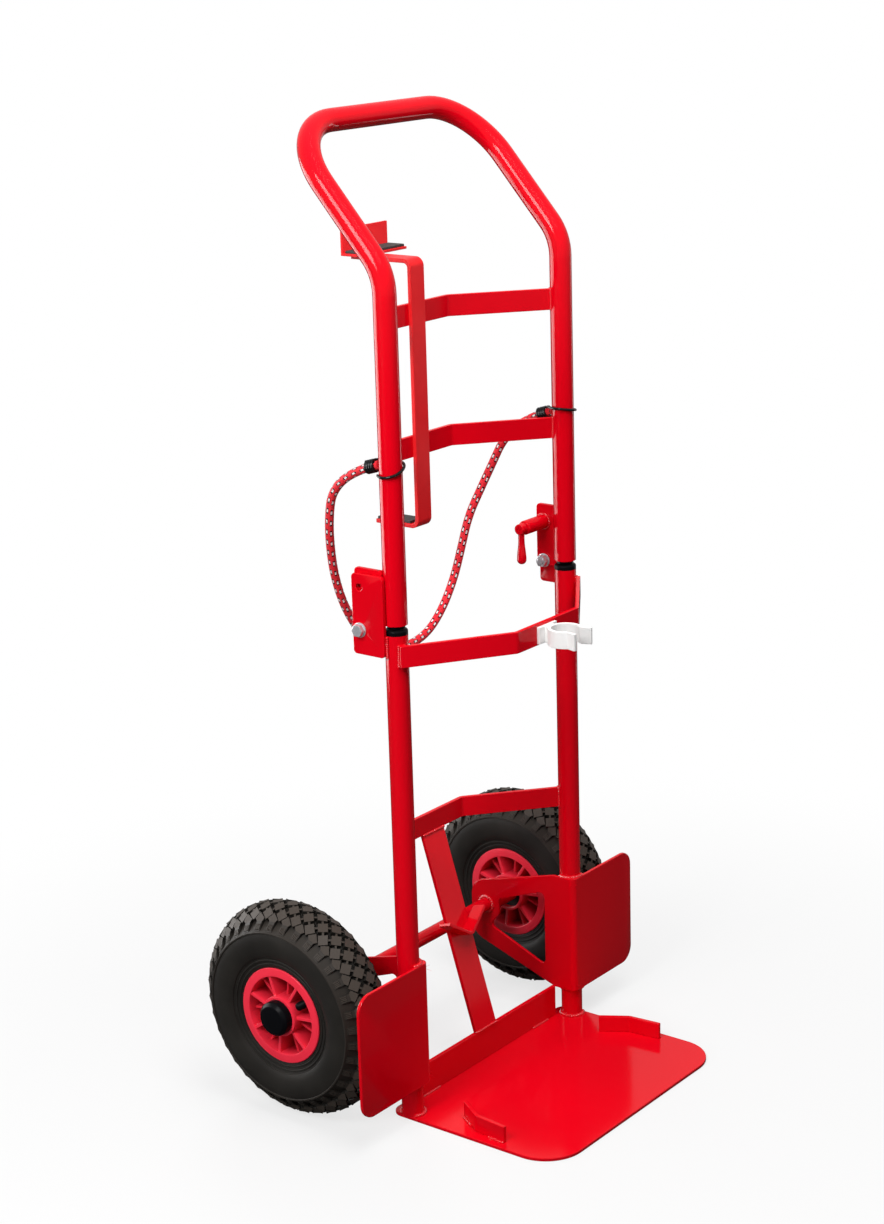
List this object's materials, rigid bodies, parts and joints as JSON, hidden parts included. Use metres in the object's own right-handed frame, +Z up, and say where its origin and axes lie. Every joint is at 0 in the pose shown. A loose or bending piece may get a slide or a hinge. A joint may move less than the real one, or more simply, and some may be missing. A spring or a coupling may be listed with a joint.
{
  "type": "folding transport cart",
  "caption": "Folding tube-frame hand truck with a toe plate, pneumatic wheels, cradle bars, sprung-cord strap, tool holder and pipe clip.",
  "frame": {"origin": "on the floor, midway between the two uprights, on the underside of the toe plate", "axes": "+Z up, toe plate forward along -Y, wheels and handle lean toward +Y, X along the axle"},
  "size_m": [0.544, 0.4605, 1.144],
  "materials": {
    "frame_red": "glossy powder coat",
    "rim_red": "moulded, semi-gloss",
    "tyre": "matt rubber",
    "black_plastic": "semi-gloss",
    "zinc": "bright zinc plate",
    "bearing_steel": "ground steel",
    "pad_rubber": "matt",
    "clip_white": "moulded",
    "cord_red": "woven sheath with white and black flecks",
    "hook_black": "coated wire"
  },
  "bodies": {
    "lower_frame": {"lower_tube_left": "frame_red", "lower_tube_right": "frame_red", "load_stop_left": "frame_red", "load_stop_right": "frame_red", "wheel_bracket_left": "frame_red", "wheel_bracket_right": "frame_red", "axle_sleeve_left": "frame_red", "axle_sleeve_right": "frame_red", "axle_retainer_left": "zinc", "axle_retainer_right": "zinc", "hinge_plate_outer_left": "frame_red", "hinge_plate_outer_right": "frame_red", "pivot_bolt_left": "zinc", "pivot_bolt_right": "zinc", "pivot_nut_left": "zinc", "pivot_nut_right": "zinc", "lower_plug_left": "black_plastic", "lower_plug_right": "black_plastic", "toe_plate": "frame_red", "rear_strip": "frame_red", "axle": "frame_red", "lower_cradle_bar": "frame_red", "front_cradle_bar": "frame_red", "brace": "frame_red", "notched_rest": "frame_red", "pipe_clip": "clip_white"},
    "upper_frame": {"handle_tube": "frame_red", "upper_cradle_bar_low": "frame_red", "upper_cradle_bar_high": "frame_red", "holder_bar": "frame_red", "holder_shelf": "frame_red", "holder_pad_top": "pad_rubber", "holder_pad_bottom": "pad_rubber", "bungee_cord": "cord_red", "hinge_plate_inner_left": "frame_red", "hinge_plate_inner_right": "frame_red", "upper_plug_left": "black_plastic", "upper_plug_right": "black_plastic", "lock_sleeve_left": "frame_red", "lock_sleeve_right": "frame_red", "bungee_hook_left": "hook_black", "bungee_hook_right": "hook_black"},
    "wheel_left": {"tyre_left": "tyre", "rim_left": "rim_red", "bearing_inner_left": "bearing_steel", "bearing_outer_left": "bearing_steel", "hub_cap_left": "black_plastic", "valve_left": "black_plastic"},
    "lock_lever_left": {"lock_lever_left": "frame_red"},
    "lock_pin_left": {"lock_pin_left": "frame_red"},
    "wheel_right": {"tyre_right": "tyre", "rim_right": "rim_red", "bearing_inner_right": "bearing_steel", "bearing_outer_right": "bearing_steel", "hub_cap_right": "black_plastic", "valve_right": "black_plastic"},
    "lock_lever_right": {"lock_lever_right": "frame_red"},
    "lock_pin_right": {"lock_pin_right": "frame_red"}
  },
  "joints": [
    {"name": "fold", "type": "hinge", "parent": "lower_frame", "child": "upper_frame", "pos_m": [0, 0.036, 0.5885], "axis": [-1, 0, 0], "range_deg": [0, 145]},
    {"name": "wheel_spin_left", "type": "hinge", "parent": "lower_frame", "child": "wheel_left", "pos_m": [-0.222, 0.1185, 0.13], "axis": [1, 0, 0], "continuous": true},
    {"name": "lock_turn_left", "type": "hinge", "parent": "upper_frame", "child": "lock_lever_left", "pos_m": [-0.122, 0.036, 0.637], "axis": [1, 0, 0], "range_deg": [0, 180]},
    {"name": "lock_slide_left", "type": "slide", "parent": "upper_frame", "child": "lock_pin_left", "axis": [-1, 0, 0], "range_m": [0, 0.008]},
    {"name": "wheel_spin_right", "type": "hinge", "parent": "lower_frame", "child": "wheel_right", "pos_m": [0.222, 0.1185, 0.13], "axis": [1, 0, 0], "continuous": true},
    {"name": "lock_turn_right", "type": "hinge", "parent": "upper_frame", "child": "lock_lever_right", "pos_m": [0.122, 0.036, 0.637], "axis": [1, 0, 0], "range_deg": [0, 180]},
    {"name": "lock_slide_right", "type": "slide", "parent": "upper_frame", "child": "lock_pin_right", "axis": [1, 0, 0], "range_m": [0, 0.008]}
  ],
  "couplings": [
    {"joint": "lock_slide_left", "follows": "lock_turn_left", "m_per_rad": 0.002546},
    {"joint": "lock_slide_right", "follows": "lock_turn_right", "m_per_rad": 0.002546}
  ]
}
